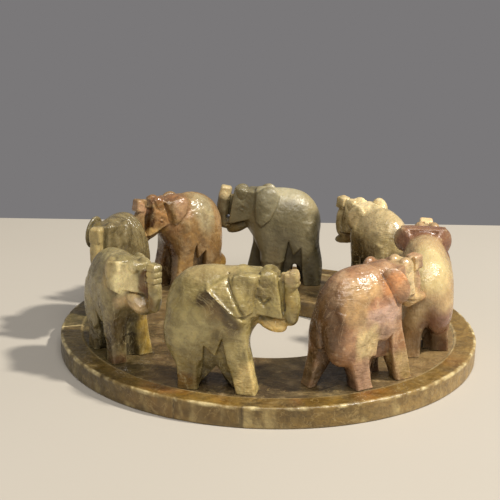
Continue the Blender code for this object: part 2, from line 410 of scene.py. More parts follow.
@dataclass
class Patch:
    """Another colour on the stone, round a centre or along the line from it to an end; some are painted
    shade.
    """

    centre: tuple
    half: tuple
    colour: tuple
    strength: float = 1.0
    end: tuple = None

    def share(self, places):
        start = np.array(self.centre)
        line = np.array(self.end or self.centre) - start
        along = np.clip((places - start) @ line / max(line @ line, 1e-9), 0, 1)
        away = np.linalg.norm((places - start - along[:, None] * line) / self.half, axis=1)
        return (np.clip((1.25 - away) / 0.5, 0, 1) * self.strength)[:, None]


@dataclass
class Elephant:
    """One elephant, with its height in metres and its place as a bearing on the ring in degrees.

    Each foot is the centre of its sole, as (forward, to the left). The trunk's points are (forward, up,
    radius), the knob at its tip is (centre, half size, tilt), the jaw is (height, half width, half
    thickness, tilt), and the chin is a plane. The notches are the heights of the three bends in the saw
    cut between the legs, and the arch under the belly is (height, half width as a share of the gap).
    """

    name: str
    stone: str
    height: float
    place: float
    colour: tuple
    dark: tuple
    light: tuple
    hind_outer: tuple = (-25, -12.5)
    hind_inner: tuple = (-28, 12.5)
    front_outer: tuple = (23.5, -12.5)
    front_inner: tuple = (15, 12.5)
    turn: float = 0.0
    length: float = 1.0
    rump_drop: float = 0.0
    head_turn: float = 0.0
    jaw_reach: float = 14.0
    jaw: tuple = (56, 6.6, 7.4, 24)
    chin: tuple = ((40, 0, 60.5), (-0.12, 0, -1))
    slot: tuple = ((42.6, 108), (46.8, 108), (49.4, 66), (48.4, 65))
    tail: bool = True
    notches: tuple = (40, 31, 47)
    marked_face: bool = True
    eyelet: bool = False
    trunk: tuple = (
        (44, 62, 5), (48, 58.5, 6.2), (52, 60, 6.8), (53.4, 68, 6.8), (53, 77, 6.3), (51.5, 85, 4.8),
    )
    knob: tuple = ((51.8, 0, 91), (6.8, 6.0, 6.4), -8)
    web_top: float = 92.0
    ears: tuple = ()
    patches: tuple = ()
    body_marks: tuple = ()
    head_marks: tuple = ()
    seed: int = 1
    streaks: tuple = (1.0, 1.0, 1.0)
    lumps: float = 0.5
    roughness: float = 0.2
    mottle: float = 1.0
    scratch: tuple = (400.0, 400.0, 2500.0)
    trunk_width: float = 1.05
    taper: float = 0.26
    extras: tuple = ()
    arch: tuple = (19, 0.0)


NECK = (22.0, 0.0, 76.0)


def body_forms(e):
    back, drop = e.length, e.rump_drop / 2
    yield egg((-17 * back, 0, 60 - drop), (30, 23, 36 - drop)), 0
    yield egg((0, 0, 66 - drop), (29, 21.5, 31 - drop)), 8
    yield egg((15, 0, 74 - drop), (18, 17, 24)), 6
    yield post(((-4, 0, -6), 13, 12.5), ((-4, 0, 50), 19, 15), 4), 4
    yield post(((-4, 0, 26), 15, 17), ((-4, 0, 64), 14, 15), 4), 8
    for side in (-1, 1):
        yield egg((-30 * back, side * 10.5, 43), (16, 12, 24)), 6
        yield egg((10, side * 11, 59), (12, 10.5, 25)), 6


def leg_forms(e):
    legs = (
        (e.hind_outer, -27 * e.length, 8.5, 62 - e.rump_drop),
        (e.hind_inner, -27 * e.length, 8.5, 62 - e.rump_drop),
        (e.front_outer, -4 + e.front_outer[0] / 2, 9, 66),
        (e.front_inner, -4 + e.front_inner[0] / 2, 9, 66),
    )
    for (x, y), hip, half_top, top in legs:
        sole = ((x, y, -6), FOOT_HALF_LENGTH - 0.3, FOOT_HALF_WIDTH - 0.3)
        yield post(sole, ((hip, math.copysign(9.5, y), top), half_top, 7.5), 2.4), 7


def notch_forms(e):
    """The saw cuts up into the flanks, which leave a tooth of belly between two peaks."""
    for side, hind, front in ((-1, e.hind_outer, e.front_outer), (1, e.hind_inner, e.front_inner)):
        start = hind[0] + FOOT_HALF_LENGTH
        gap = front[0] - FOOT_HALF_LENGTH - start
        points = (
            (start - 0.03 * gap, -20),
            (start + 0.14 * gap, e.notches[0]),
            (start + 0.43 * gap, e.notches[1]),
            (start + 0.62 * gap, e.notches[2]),
            (start + 1.03 * gap, -20),
        )

        def distance(x, y, z, points=points, side=side):
            wall = (11.5 + 0.16 * np.maximum(z - 15, 0)) - side * y
            return smooth_max(outline_distance(x, z, points), wall, 0.8)

        low_y, high_y = sorted((side * 11.5, side * 36))
        yield Form((points[0][0], low_y, -8), (points[-1][0], high_y, 50), distance)
        middle = start + 0.42 * gap
        top, flat, foot = e.arch[0], e.arch[1] * gap, 0.95 * gap
        arch = ((middle - foot, -20), (middle - flat, top), (middle + flat, top), (middle + foot, -20))
        low_y, high_y = sorted((side * -0.1, side * 14))
        yield plate(arch, low_y, high_y, 0.5)


def head_forms(e):
    """The wedge of the head with its two domes, the lower lip, and the raised trunk with its knob."""
    yield wedge((14, -17, 58), (52, 17, 101), (
        ((24, 14.2, 80), (e.taper, 1, 0.05)),
        ((24, -14.2, 80), (e.taper, -1, 0.05)),
        ((47.8, 0, 62), (1, 0, 0.17)),
        ((36, 0, 96.5), (-0.1, 0, 1)),
        e.chin,
        ((15, 0, 80), (-1, 0, 0)),
    ), 1.6), 1.5
    for side in (-1, 1):
        yield egg((34.5, side * 6, 93.3), (7.2, 5.2, 6)), 1.2
    reach, (level, wide, thick, tilt) = e.jaw_reach, e.jaw
    yield egg((37 + (reach - 14) / 2, 0, level), (reach, wide, thick), tilt), 0.8
    yield block((44, 0, (60 + e.web_top) / 2), (7, 3.2, (e.web_top - 60) / 2), 1.5), 1.0
    points = [(x, 0, z) for x, z, radius in e.trunk]
    yield hose(points, [radius for x, z, radius in e.trunk], e.trunk_width), 1.2
    centre, half, tilt = e.knob
    yield block(centre, half, 2.2, tilt), 1.4


def slot_forms(e):
    """The V cut down each side between the face and the trunk."""
    for side in (-1, 1):
        low_y, high_y = sorted((side * 2.0, side * 20))
        yield plate(e.slot, low_y, high_y, 0.5)


EYE = ((30.6, 76), (33.8, 78.2), (37.2, 75.4), (33.8, 73.4), (30.6, 76))
FACE_MARKS = (
    groove(EYE, 1.2, 0.8, above=6),
    groove(((33, 75.2), (34.8, 75.8)), 1.6, -0.5, above=6),
    groove(((29, 79.5), (34, 81), (39, 77.5)), 2.2, -0.5, above=6),
    groove(((29, 63.6), (50, 58.6)), 1.4, 1.5),
    groove(((27.5, 97), (30.5, 88), (34.5, 85.5), (38.5, 88), (41.5, 97)), 1.5, 0.9, above=4),
)


def sculpt(e):
    """One elephant's mesh, as (vertices, quads)."""
    clay = Clay()
    for form, blend in body_forms(e):
        clay.add(form, blend)
    for form, blend in leg_forms(e):
        clay.add(form, blend)
    for form in notch_forms(e):
        clay.cut(form, 1.0)
    turn = turning(pan=e.head_turn)
    head = Clay()
    for form, blend in head_forms(e):
        head.add(form.swung(turn, NECK), blend)
    for form in slot_forms(e):
        head.cut(form.swung(turn, NECK), 0.6)
    for mark in (*(FACE_MARKS if e.marked_face else ()), *e.head_marks):
        head.press(mark.swung(turn, NECK))
    clay.field = smooth_min(clay.field, head.field, 1.6)
    for form in e.ears:
        clay.add(form, 1.0)
    for form in e.extras:
        clay.add(form, 5)
    for mark in e.body_marks:
        clay.press(mark)
    rump = -47 * e.length
    if e.tail:
        tail = [(rump + 10, 0, 83), (rump + 2.8, 0, 66), (rump + 1.2, 0, 50), (rump + 2.5, 0, 36)]
        clay.add(hose(tail, [2.2, 2.4, 2.3, 2.6]), 1.2)
    if e.eyelet:
        clay.cut(hose([(48.7, -20, 66.5), (48.7, 20, 66.5)], [1.7, 1.7]).swung(turn, NECK), 0.5)
    clay.field = np.maximum(clay.field, -SOLE_DEPTH - clay.axes[2][None, None, :])
    return largest_piece(*skin(clay))


def roughened(e, vertices, quads):
    """The vertices, moved a little in and out as a hand leaves stone."""
    depth = noise(vertices, 20, e.seed) * e.lumps
    depth += noise(vertices, 7.0, e.seed + 7) * 0.8 * e.lumps
    depth += noise(vertices, 2.8, e.seed + 9) * 0.22 * e.lumps
    depth *= np.clip((vertices[:, 2] + 0.5) / 2, 0, 1)
    return vertices - vertex_normals(vertices, quads) * np.maximum(depth, -0.15)[:, None]


def painted(e, places):
    """The stone's own large colours at each vertex, with painted shade under the body and in some hollows."""
    warp = np.stack([clouds(places, 16, e.seed + i) for i in (20, 30, 40)], axis=1) * 7
    streaked = places * np.array(e.streaks) + warp * 0.6
    colour = np.tile(linear(*e.colour), (len(places), 1))
    dark = np.clip(clouds(streaked, 20, e.seed + 50) * 1.6 + 0.1, 0, 1)[:, None]
    light = np.clip(clouds(streaked, 14, e.seed + 60) * 1.6 - 0.1, 0, 1)[:, None]
    colour = colour * (1 - dark * 0.6) + np.array(linear(*e.dark)) * dark * 0.6
    colour = colour * (1 - light * 0.6) + np.array(linear(*e.light)) * light * 0.6
    # Painted shade: the belly, the inner legs and the gaps between them are darkened.
    shade_between_legs = Patch((-6, 0, 8), (34, 17, 44), tuple(c * 0.55 for c in e.dark), 0.85)
    for patch in (*e.patches, shade_between_legs):
        share = patch.share(places + warp)
        colour = colour * (1 - share) + np.array(linear(*patch.colour)) * share
    return colour


def mesh_of(name, vertices, faces, colours):
    mesh = bpy.data.meshes.new(name)
    mesh.vertices.add(len(vertices))
    mesh.vertices.foreach_set("co", vertices.astype(np.float32).ravel())
    mesh.loops.add(faces.size)
    mesh.loops.foreach_set("vertex_index", faces.astype(np.int32).ravel())
    mesh.polygons.add(len(faces))
    sides = faces.shape[1]
    mesh.polygons.foreach_set("loop_start", np.arange(0, faces.size, sides, dtype=np.int32))
    mesh.update(calc_edges=True)
    mesh.shade_smooth()
    paint = mesh.attributes.new("stone", "FLOAT_COLOR", "POINT")
    rgba = np.concatenate([colours, np.ones((len(colours), 1))], axis=1)
    paint.data.foreach_set("color", rgba.astype(np.float32).ravel())
    return mesh


# Materials


class Nodes:
    """Builds a material's node tree with short calls."""

    def __init__(self, name):
        self.material = bpy.data.materials.new(name)
        self.material.use_nodes = True
        self.tree = self.material.node_tree
        self.shader = self.tree.nodes["Principled BSDF"]

    def node(self, kind, values=(), **settings):
        made = self.tree.nodes.new(kind)
        for key, value in settings.items():
            setattr(made, key, value)
        for key, value in dict(values).items():
            self.feed(made, key, value)
        return made

    def feed(self, node, key, value):
        socket = node.inputs[key]
        if isinstance(value, bpy.types.NodeSocket):
            self.tree.links.new(value, socket)
        else:
            socket.default_value = value

    def math(self, operation, a, b=0.0):
        made = self.node("ShaderNodeMath", {0: a, 1: b}, operation=operation)
        return made.outputs[0]

    def spread(self, value, low, high, to_low=0.0, to_high=1.0):
        made = self.node("ShaderNodeMapRange", {"Value": value, "From Min": low, "From Max": high,
                                                "To Min": to_low, "To Max": to_high})
        return made.outputs[0]

    def mix(self, share, a, b, blend="MIX"):
        made = self.node("ShaderNodeMix", {"Factor": share}, data_type="RGBA", blend_type=blend)
        self.feed(made, 6, a)
        self.feed(made, 7, b)
        return made.outputs[2]

    def noise(self, place, scale, detail=4.0, roughness=0.55, distortion=0.0):
        made = self.node("ShaderNodeTexNoise", {"Vector": place, "Scale": scale, "Detail": detail,
                                                "Roughness": roughness, "Distortion": distortion})
        return made.outputs[0]

    def stretched(self, place, scale, turn=(0.0, 0.0, 0.0)):
        made = self.node("ShaderNodeMapping", {"Vector": place, "Scale": scale, "Rotation": turn})
        return made.outputs[0]


def soapstone(name, dark, light, roughness, scratch, mottle=1.0, glow=0.15, bump=0.5):
    """Polished soapstone: painted colours, mottling, veins, worn pale edges, painted shade in hollows,
    scratches.
    """
    n = Nodes(name)
    place = n.node("ShaderNodeTexCoord").outputs["Object"]
    own = n.node("ShaderNodeAttribute", attribute_name="stone").outputs["Color"]
    spots = n.noise(place, 240, 5, 0.6, 0.6)
    cloud = n.noise(place, 90, 3, 0.5, 0.8)
    fleck = n.noise(place, 1300, 2, 0.6)
    vein = n.noise(n.stretched(place, (1.0, 1.6, 0.7), (0.4, 0.3, 0.9)), 70, 5, 0.6, 1.6)
    band = n.math("ABSOLUTE", n.math("SUBTRACT", vein, 0.5))
    shadowed = n.mix(1.0, own, (0.45, 0.4, 0.3, 1), "MULTIPLY")
    lit = n.mix(1.0, own, (1.5, 1.48, 1.35, 1), "MULTIPLY")
    colour = n.mix(n.spread(spots, 0.48, 0.72, 0, 0.8 * mottle), own, shadowed)
    colour = n.mix(n.spread(spots, 0.5, 0.3, 0, 0.6 * mottle), colour, lit)
    colour = n.mix(n.spread(cloud, 0.5, 0.75, 0, 0.3 * mottle), colour, (*light, 1))
    colour = n.mix(n.spread(band, 0.0, 0.012, 0.5 * mottle, 0), colour, (*light, 1))
    colour = n.mix(n.spread(fleck, 0.58, 0.75, 0, 0.45 * mottle), colour, shadowed)
    edge = n.node("ShaderNodeNewGeometry").outputs["Pointiness"]
    colour = n.mix(n.spread(edge, 0.51, 0.58, 0, 0.4), colour, (*light, 1))
    # Painted shade: creases and hollows are darkened.
    colour = n.mix(n.spread(edge, 0.49, 0.42, 0, 0.7), colour, (*[c * 0.3 for c in dark], 1))
    n.feed(n.shader, "Base Color", colour)
    worn = n.noise(place, 300, 4, 0.6)
    n.feed(n.shader, "Roughness", n.spread(worn, 0.35, 0.7, roughness - 0.07, roughness + 0.17))
    lines = n.noise(n.stretched(place, scratch, (0.2, 0.5, 0.3)), 1.0, 2, 0.5)
    ripple = n.noise(place, 620, 1.5, 0.5)
    relief = n.math("ADD", n.math("MULTIPLY", lines, 0.5), n.math("MULTIPLY", fleck, 0.2))
    relief = n.math("ADD", relief, ripple)
    bumped = n.node("ShaderNodeBump", {"Height": relief, "Strength": bump, "Distance": 0.0006})
    n.feed(n.shader, "Normal", bumped.outputs[0])
    n.shader.inputs["IOR"].default_value = 1.56
    n.shader.inputs["Subsurface Weight"].default_value = glow
    n.shader.inputs["Subsurface Radius"].default_value = (1.0, 0.7, 0.35)
    n.shader.inputs["Subsurface Scale"].default_value = 0.0015
    return n.material


def ringed_trunk(levels, depth=0.6):
    """Shallow cuts across the trunk."""
    return tuple(groove(((46, z), (64, z + 1)), 1.1, depth, above=-6) for z in levels)


STRAIGHT_TRUNK = (
    (44, 62, 5), (48, 58.5, 6.2), (52, 60, 6.8), (53.6, 68, 7), (53.4, 78, 6.8), (52.4, 88, 6.2),
)


HERD = (
    Elephant(
        "front_left", "olive_soapstone", 0.0402, 254.5, (148, 132, 82), (98, 82, 44), (184, 168, 120),
        turn=2, front_inner=(14, 12.5), seed=11, notches=(37, 28.5, 45),
        head_marks=(
            *ringed_trunk((88.5,), 0.8), groove(((57, 99), (61, 93)), 1.6, 1.6, above=-8),
            groove(((44, 97), (52, 96)), 1.4, 1.2, above=-8), groove(((30, 62), (46, 46)), 1.6, 0.7),
            groove(((30, 78), (33.6, 71.5), (38, 77.5)), 1.7, 1.5, side=-1),
        ),
        ears=(egg((14, 15, 80), (11, 6, 16), -24, 16),),
        body_marks=(
            hollow((-18, 80), (15, 50), 11, -3.4, side=-1),
            panel(
                ((-9, 84), (4.5, 92.5), (16, 97), (30, 95), (25.5, 66), (20.5, 64.5), (15.8, 64.5)),
                3.9, side=-1,
            ),
            groove(((5.6, 93), (12, 80), (19.8, 66)), 1.9, 2.4, side=-1),
            groove(((29.5, 95), (24.5, 67)), 1.8, 2.0, side=-1),
        ),
        patches=(
            # Painted shade on the slope behind the raised ear
            Patch((-12, -24, 78), (5.5, 9, 5.5), (84, 66, 34), end=(14, -24, 56)),
            Patch((3, -22, 82), (8, 5, 12), (184, 164, 108), 0.7),
            Patch((24, -16, 10), (10, 12, 17), (212, 186, 122)),
            Patch((-4, -22, 66), (9, 9, 8), (132, 108, 64), 0.6),
            Patch((12, -20, 50), (7, 9, 8), (104, 88, 60), 0.7),
            Patch((-26, -14, 3), (13, 14, 9), (106, 78, 32), 0.9),
            Patch((-20, -20, 50), (16, 10, 18), (168, 154, 104), 0.8),
            Patch((40, 0, 53), (15, 12, 7), (238, 206, 134)),
            Patch((37, -15, 84), (9, 7, 11), (98, 80, 42), 0.5),
            Patch((53, 0, 72), (8, 9, 14), (140, 114, 50), 0.85),
            Patch((53, 0, 93), (8, 9, 7), (188, 162, 116), 0.8),
            Patch((-14, 0, 94), (30, 18, 9), (166, 146, 100), 0.8),
        ),
    ),
    Elephant(
        "front_right", "rose_soapstone", 0.0394, 301.5, (164, 124, 90), (118, 82, 60), (196, 166, 130),
        hind_outer=(-12, -15), hind_inner=(-45, 10), front_outer=(30, -12.5), seed=23,
        jaw_reach=27, jaw=(63.5, 7.2, 6.6, 14), chin=((40, 0, 66), (-0.12, 0, -1)),
        streaks=(1.0, 1.0, 2.2), head_turn=10, trunk_width=0.85, arch=(20, 0.3), notches=(38, 37, 42),
        ears=(egg((15, -18, 82), (11, 4.0, 16), -24, -30), egg((15, 15, 84), (11, 6, 15), -24, 22)),
        body_marks=(groove(((5, 92), (12, 74), (17, 66)), 2.2, 1.4, side=-1),),
        patches=(
            Patch((-42, 0, 60), (13, 26, 34), (92, 64, 36), 0.95),
            Patch((-38, 8, 10), (18, 14, 20), (84, 62, 28), 0.95),
            Patch((-24, -18, 72), (11, 14, 22), (172, 140, 96), 0.8),
            Patch((-10, -20, 82), (14, 9, 9), (190, 154, 108), 0.9),
            Patch((2, -20, 60), (17, 10, 12), (186, 152, 134), 0.95),
            Patch((-4, -20, 70), (12, 9, 5), (172, 122, 84), 0.6),
            Patch((-15, -18, 40), (12, 10, 17), (202, 178, 128), 0.95),
            Patch((5, -16, 46), (12, 10, 9), (170, 138, 114), 0.8),
            Patch((-14, -17, 8), (12, 12, 16), (166, 132, 106), 0.9),
            Patch((28, -14, 14), (12, 12, 18), (168, 142, 90), 0.9),
            Patch((27, -14, 34), (9, 12, 9), (152, 108, 66), 0.9),
            Patch((15, -20, 84), (11, 8, 14), (212, 150, 100), 0.9),
            Patch((38, 0, 80), (14, 18, 22), (206, 182, 134), 0.95),
            Patch((44, 0, 60), (20, 10, 9), (216, 184, 130)),
            # Painted shade under the belly, between the legs
            Patch((4, 0, 30), (14, 12, 12), (58, 54, 38), 0.9),
            Patch((10, 8, 96), (16, 12, 6), (128, 90, 60), 0.8),
        ),
    ),
    Elephant(
        "right", "cream_soapstone", 0.0402, 345, (188, 160, 116), (146, 112, 80), (204, 182, 138),
        turn=8, hind_outer=(-11, -16), hind_inner=(-33, 10), rump_drop=9, seed=37, tail=False,
        extras=(egg((2, 2, 79), (24, 17, 17)),), mottle=0.5, lumps=0.3, scratch=(2200.0, 2200.0, 300.0),
        ears=(
            egg((14, -14, 87.5), (9.5, 4.5, 11.5), -8, -48), egg((13, 21, 88.5), (9.5, 4.5, 10.5), -8, 50),
            block((17, 3.5, 95.8), (6, 20, 3.4), 1.6),
        ),
        patches=(
            Patch((-32, 0, 76), (26, 20, 20), (206, 186, 134), 0.9),
            Patch((-36, -12, 30), (22, 16, 17), (134, 94, 76), 0.95),
            Patch((-20, -18, 40), (14, 10, 14), (150, 108, 88), 0.9),
            Patch((-14, -18, 8), (14, 12, 16), (104, 70, 48), 0.95),
            Patch((-36, 10, 12), (12, 12, 16), (168, 134, 92), 0.9),
            Patch((12, 20, 84), (13, 10, 14), (150, 106, 80)),
            Patch((13, -20, 84), (13, 10, 14), (118, 78, 56)),
            Patch((16, 2, 96), (14, 26, 7), (132, 92, 68)),
            Patch((52, 0, 93), (10, 10, 9), (232, 200, 148)),
        ),
    ),
    Elephant(
        "back_right", "honey_soapstone", 0.0372, 41, (170, 150, 104), (104, 86, 50), (206, 186, 140),
        turn=-13, head_turn=16, jaw_reach=22, jaw=(55, 6, 6.4, 20), seed=41, tail=False,
        ears=(egg((12, 18, 84), (10, 4.2, 14), -28, 26), egg((16, -15, 90), (14, 7, 10.5), -10, -12)),
        patches=(
            Patch((24, 0, 95), (26, 24, 11), (238, 218, 168), 0.95),
            Patch((10, 20, 84), (8, 7, 9), (220, 196, 144), 0.9),
            Patch((-20, 6, 86), (24, 22, 16), (206, 184, 138), 0.8),
            Patch((-34, -10, 74), (14, 14, 14), (206, 184, 146), 0.9),
            Patch((-6, 20, 54), (28, 12, 16), (88, 70, 38), 0.9),
            Patch((-6, 18, 30), (34, 16, 22), (54, 40, 16), 0.95),
            Patch((-44, -2, 48), (12, 22, 14), (84, 66, 36), 0.9),
            Patch((46, 0, 54), (24, 12, 9), (124, 94, 46), 0.95),
            Patch((53, 0, 93), (9, 9, 8), (206, 180, 132), 0.9),
            Patch((40, 8, 74), (9, 9, 9), (110, 84, 42), 0.8),
        ),
    ),
    Elephant(
        "back", "slate_soapstone", 0.0396, 86.5, (122, 112, 82), (100, 92, 66), (142, 132, 102),
        hind_outer=(-34, -12.5), hind_inner=(-40, 12.5), front_inner=(4, 12.5), eyelet=True, seed=53,
        lumps=0.12, roughness=0.34, mottle=0.3, tail=False, web_top=89,
        scratch=(260.0, 260.0, 420.0), extras=(egg((-42, 12, 16), (8, 8, 24)),),
        trunk=STRAIGHT_TRUNK, knob=((51.5, 0, 91), (5.8, 5.4, 7), -10),
        slot=((40.5, 108), (45, 108), (48.2, 66), (47.4, 64)), chin=((33, 0, 63.5), (-0.42, 0, -1)),
        jaw=(57, 6.2, 6.5, 28),
        ears=(egg((9, 15.5, 82), (12, 6, 18), -22, 6), egg((11, -16, 82), (11, 6, 17), -24, -14)),
        body_marks=(
            panel(
                ((20, 99), (12, 103), (1, 100), (-5, 93), (-2, 82), (5, 68), (13, 61), (19, 66), (20, 76)),
                2.4, side=1,
            ),
        ),
        patches=(
            Patch((-20, 4, 95), (34, 22, 10), (182, 172, 140), 0.9),
            Patch((-36, 2, 86), (12, 14, 12), (160, 146, 108), 0.8),
            Patch((5, 20, 90), (10, 9, 10), (150, 142, 114), 0.7),
            Patch((53, 0, 74), (9, 9, 16), (76, 62, 34), 0.9),
            Patch((52, 0, 93), (9, 9, 7), (206, 184, 136)),
            Patch((40, 0, 55), (15, 11, 8), (116, 96, 44), 0.85),
            Patch((-38, 8, 12), (16, 16, 30), (50, 44, 26), 0.95),
            Patch((-44, 4, 50), (10, 24, 26), (58, 52, 34), 0.95),
            Patch((0, 14, 24), (9, 9, 26), (106, 92, 60), 0.8),
            Patch((4, -12, 20), (60, 8, 26), (62, 54, 30), 0.9),
        ),
    ),
    Elephant(
        "back_left", "russet_soapstone", 0.0388, 125, (142, 110, 68), (104, 74, 40), (172, 148, 108),
        length=0.74, hind_inner=(-24.5, 12.5), seed=67, streaks=(1.6, 1.0, 0.6), web_top=90,
        slot=((41, 108), (48.5, 108), (50.6, 66), (48, 62)), chin=((36, 0, 65.5), (-0.5, 0, -0.86)),
        jaw=(62.5, 5.6, 4.6, 32),
        ears=(egg((12, 12.5, 84), (13, 7, 14), -30, 8), egg((11, -16, 82), (11, 6, 16), -24, -14)),
        extras=(egg((-34, 10, 22), (11, 8, 10)),), scratch=(1200.0, 2400.0, 400.0),
        body_marks=(
            panel(((28, 92), (14, 100), (4, 96), (9, 82), (22, 70), (26, 74)), 1.4, side=1),
            groove(((30, 92), (25, 74)), 2.0, 1.6, side=1),
        ),
        patches=(
            # Painted shade in the slot between the face and the trunk
            Patch((46, 6, 78), (5, 12, 20), (58, 32, 8)),
            Patch((34, 12, 82), (9, 9, 12), (156, 114, 70), 0.8),
            Patch((53, 0, 88), (7, 9, 10), (190, 150, 116), 0.9),
            Patch((20, 12, 66), (12, 8, 10), (176, 134, 92), 0.8),
            Patch((40, 8, 63), (14, 12, 5), (196, 160, 100), 0.8),
            Patch((22, 6, 98), (24, 16, 6), (130, 90, 60), 0.85),
            Patch((10, 18, 86), (12, 9, 12), (176, 138, 104), 0.8),
            Patch((-14, 14, 78), (13, 14, 22), (160, 146, 112), 0.9),
            Patch((-34, 8, 72), (9, 16, 22), (158, 128, 92), 0.9),
            Patch((14, 14, 26), (9, 9, 26), (140, 108, 62), 0.8),
            Patch((-32, 12, 16), (14, 12, 16), (160, 124, 62), 0.9),
            # Painted shade on the chest under the chin
            Patch((22, -4, 40), (12, 20, 24), (98, 62, 28), 0.8),
        ),
    ),
    Elephant(
        "left", "moss_soapstone", 0.0378, 166, (120, 106, 72), (78, 66, 38), (150, 136, 98),
        head_turn=-1, seed=71, streaks=(1.8, 1.8, 0.5), trunk_width=0.9,
        scratch=(3000.0, 3000.0, 250.0),
        trunk=STRAIGHT_TRUNK, knob=((52.4, 0, 91), (6.4, 5.8, 7.6), 0), marked_face=False,
        body_marks=tuple(
            groove(((x, 98), (x + 2, 40)), 1.7, 1.1, side=1) for x in (-22, -16, -9, -3, 4, 10, 17)
        ),
        ears=(egg((12, 12, 80), (12, 8, 17), -22, 10), egg((12, -19, 82), (11, 4.2, 16), -20, -24)),
        patches=(
            Patch((55, 0, 78), (9, 10, 28), (184, 162, 108)),
            Patch((40, -8, 80), (7, 6, 20), (96, 82, 42), 0.8),
            Patch((12, -20, 84), (12, 8, 16), (92, 82, 50), 0.9),
            Patch((0, 18, 40), (26, 12, 20), (72, 58, 20), 0.8),
            Patch((14, -14, 60), (14, 12, 30), (78, 68, 38), 0.8),
        ),
    ),
    Elephant(
        "left_front", "fawn_soapstone", 0.0366, 210, (142, 128, 86), (92, 78, 46), (186, 170, 124),
        front_outer=(19.5, -12.5), front_inner=(8, 19), head_turn=15, seed=83,
        streaks=(1.2, 1.2, 0.6), trunk_width=0.85, scratch=(2500.0, 2500.0, 300.0),
        jaw_reach=15, jaw=(60, 13.5, 9, 30), chin=((40, 0, 68), (-0.12, 0, -1)),
        marked_face=False, taper=0.5, slot=((43, 108), (48.5, 108), (51.4, 66), (49, 63)),
        trunk=tuple((x + 2, z, radius) for x, z, radius in STRAIGHT_TRUNK),
        knob=((54.5, 0, 90), (6.2, 5.2, 9), 0),
        ears=(egg((13, -12, 80), (11, 7, 16), -24, -10), egg((13, 16, 82), (11, 5, 16), -24, 18)),
        head_marks=(*ringed_trunk((97, 91.5, 86, 80.5), 0.9), groove(((26, 70), (50, 67.5)), 1.6, 1.4)),
        body_marks=(
            panel(((-2, 97), (6, 88), (22, 70), (27, 66), (30, 76), (26, 99)), 1.6, side=-1),
        ),
        patches=(
            Patch((14, -18, 84), (12, 9, 15), (196, 172, 118), 0.9),
            Patch((35, -12, 82), (13, 9, 17), (252, 232, 172)),
            # Painted shade in the slot between the face and the trunk
            Patch((46, -5, 84), (5, 14, 28), (92, 56, 10)),
            Patch((38, -8, 58), (16, 14, 9), (206, 176, 128), 0.9),
            Patch((54, 0, 90), (8, 10, 15), (196, 172, 110), 0.9),
            Patch((53, 0, 64), (8, 9, 9), (120, 90, 34), 0.9),
            Patch((20, -14, 22), (12, 11, 28), (82, 64, 34), 0.9),
            Patch((24, -15, 2), (12, 12, 7), (104, 72, 44), 0.9),
            Patch((8, 18, 22), (14, 12, 30), (158, 130, 58), 0.95),
            Patch((-26, -14, 10), (14, 12, 18), (96, 82, 52), 0.8),
            Patch((-10, -18, 76), (18, 9, 16), (142, 130, 98), 0.8),
        ),
    ),
)


def reach_of(e):
    """How far the elephant's own centre is from the ring's, with its outer feet just inside the rim."""
    inside = BASE_RADIUS - RIM_WIDTH - RIM_CLEARANCE
    turn = Matrix.Rotation(math.radians(e.turn), 2)
    reaches = []
    for x, y in (e.hind_outer, e.front_outer):
        for end in (-FOOT_HALF_LENGTH, FOOT_HALF_LENGTH):
            along, across = turn @ Vector((x + end, y - FOOT_HALF_WIDTH)) * e.height * HUNDREDTH
            reaches.append(math.sqrt(inside ** 2 - along ** 2) + across)
    return min(reaches)


def build_elephant(e):
    vertices, quads = sculpt(e)
    colours = painted(e, vertices)
    places = roughened(e, vertices, quads) * e.height * HUNDREDTH
    mesh = mesh_of(f"{e.name}_elephant", places, quads, colours)
    stone = soapstone(e.stone, linear(*e.dark), linear(*e.light), e.roughness, e.scratch, e.mottle)
    mesh.materials.append(stone)
    obj = bpy.data.objects.new(f"{e.name}_elephant", mesh)
    bpy.context.scene.collection.objects.link(obj)
    place, reach = math.radians(e.place), reach_of(e)
    floor = BASE_THICKNESS - RECESS_DEPTH
    obj.location = (reach * math.cos(place), reach * math.sin(place), floor + STANDING_LIFT)
    obj.rotation_euler.z = math.radians(e.place + 90 + e.turn)
    bpy.context.view_layer.update()
    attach(obj, "root")
    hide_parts(f"elephant_{e.name}")


# The base


def ring_profile():
    """The ring's section as (radius, z): over the rim, down, under, up the hole and along the recess."""
    edge, hole_edge, step_width = 0.0006, 0.0004, 0.0002
    pitch_under, pitch_seen = 0.002, 0.0006
    floor = BASE_THICKNESS - RECESS_DEPTH
    recess = BASE_RADIUS - RIM_WIDTH
    centre, level = BASE_RADIUS - edge, BASE_THICKNESS - edge
    bends = [(recess, BASE_THICKNESS), (centre, BASE_THICKNESS)]
    bends += [(centre + edge * math.sin(a), level + edge * math.cos(a)) for a in (0.5, 1.07)]
    bends += [(BASE_RADIUS, level), (BASE_RADIUS, edge), (BASE_RADIUS - 0.2 * edge, 0.3 * edge)]
    bends += [(centre, 0), (HOLE_RADIUS + hole_edge, 0), (HOLE_RADIUS, hole_edge)]
    bends += [(HOLE_RADIUS, floor - hole_edge), (HOLE_RADIUS + hole_edge, floor)]
    bends += [(recess - step_width, floor)]
    points = []
    for (r0, z0), (r1, z1) in zip(bends, bends[1:] + bends[:1]):
        pitch = pitch_under if z0 + z1 < 0.001 else pitch_seen
        steps = max(1, round(math.hypot(r1 - r0, z1 - z0) / pitch))
        points += [(r0 + (r1 - r0) * i / steps, z0 + (z1 - z0) * i / steps) for i in range(steps)]
    return np.array(points)


